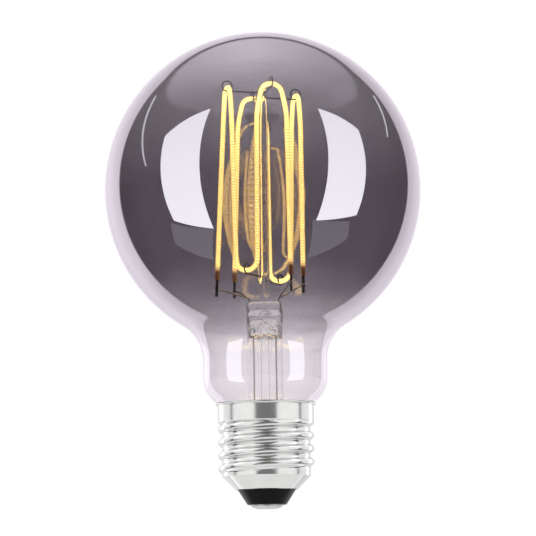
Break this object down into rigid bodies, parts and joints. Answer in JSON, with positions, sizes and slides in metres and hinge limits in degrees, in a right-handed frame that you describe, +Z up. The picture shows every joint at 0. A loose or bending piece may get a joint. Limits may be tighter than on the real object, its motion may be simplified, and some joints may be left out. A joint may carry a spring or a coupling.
{
  "type": "led filament bulb",
  "caption": "Globe bulb with looped flexible LED filaments on a glass stem, smoke-tinted glass and a right-hand screw cap with its driver inside.",
  "frame": {"origin": "centre of the flat underside of the centre contact, the bulb's lowest point", "axes": "+Z up the bulb's axis from cap to globe; -Y is the side the picture was taken from; +X to its right"},
  "size_m": [0.088, 0.088, 0.1326],
  "materials": {
    "smoke_glass": "gloss, smoke-grey film that clears towards the neck",
    "clear_glass": "gloss",
    "phosphor": "satin silicone",
    "tab_metal": "satin",
    "lead_wire": "satin",
    "support_wire": "satin, dark",
    "cap_metal": "bright nickel plate",
    "insulator_black": "satin",
    "contact_metal": "satin",
    "cement": "matt",
    "board_laminate": "satin",
    "capacitor_can": "satin sleeve",
    "component_black": "matt",
    "resistor_body": "matt",
    "wire_copper": "bright"
  },
  "bodies": {
    "root": {"glass_globe": "smoke_glass", "stem": "clear_glass", "exhaust_tube": "clear_glass", "centre_post": "clear_glass", "filament_front": "phosphor", "filament_back": "phosphor", "tab_front_left": "tab_metal", "tab_back_left": "tab_metal", "tab_back_right": "tab_metal", "tab_front_right": "tab_metal", "lead_left": "lead_wire", "lead_right": "lead_wire", "branch_left": "lead_wire", "branch_right": "lead_wire", "top_hook_left": "support_wire", "top_hook_front": "support_wire", "top_hook_right": "support_wire", "top_hook_back": "support_wire", "low_hook_front": "support_wire", "low_hook_back": "support_wire", "cap_shell": "cap_metal", "cap_insulator": "insulator_black", "centre_contact": "contact_metal", "basing_cement": "cement", "driver_board": "board_laminate", "smoothing_capacitor": "capacitor_can", "bridge_rectifier": "component_black", "driver_chip": "component_black", "fuse_resistor": "resistor_body", "neutral_wire": "wire_copper"}
  },
  "joints": []
}
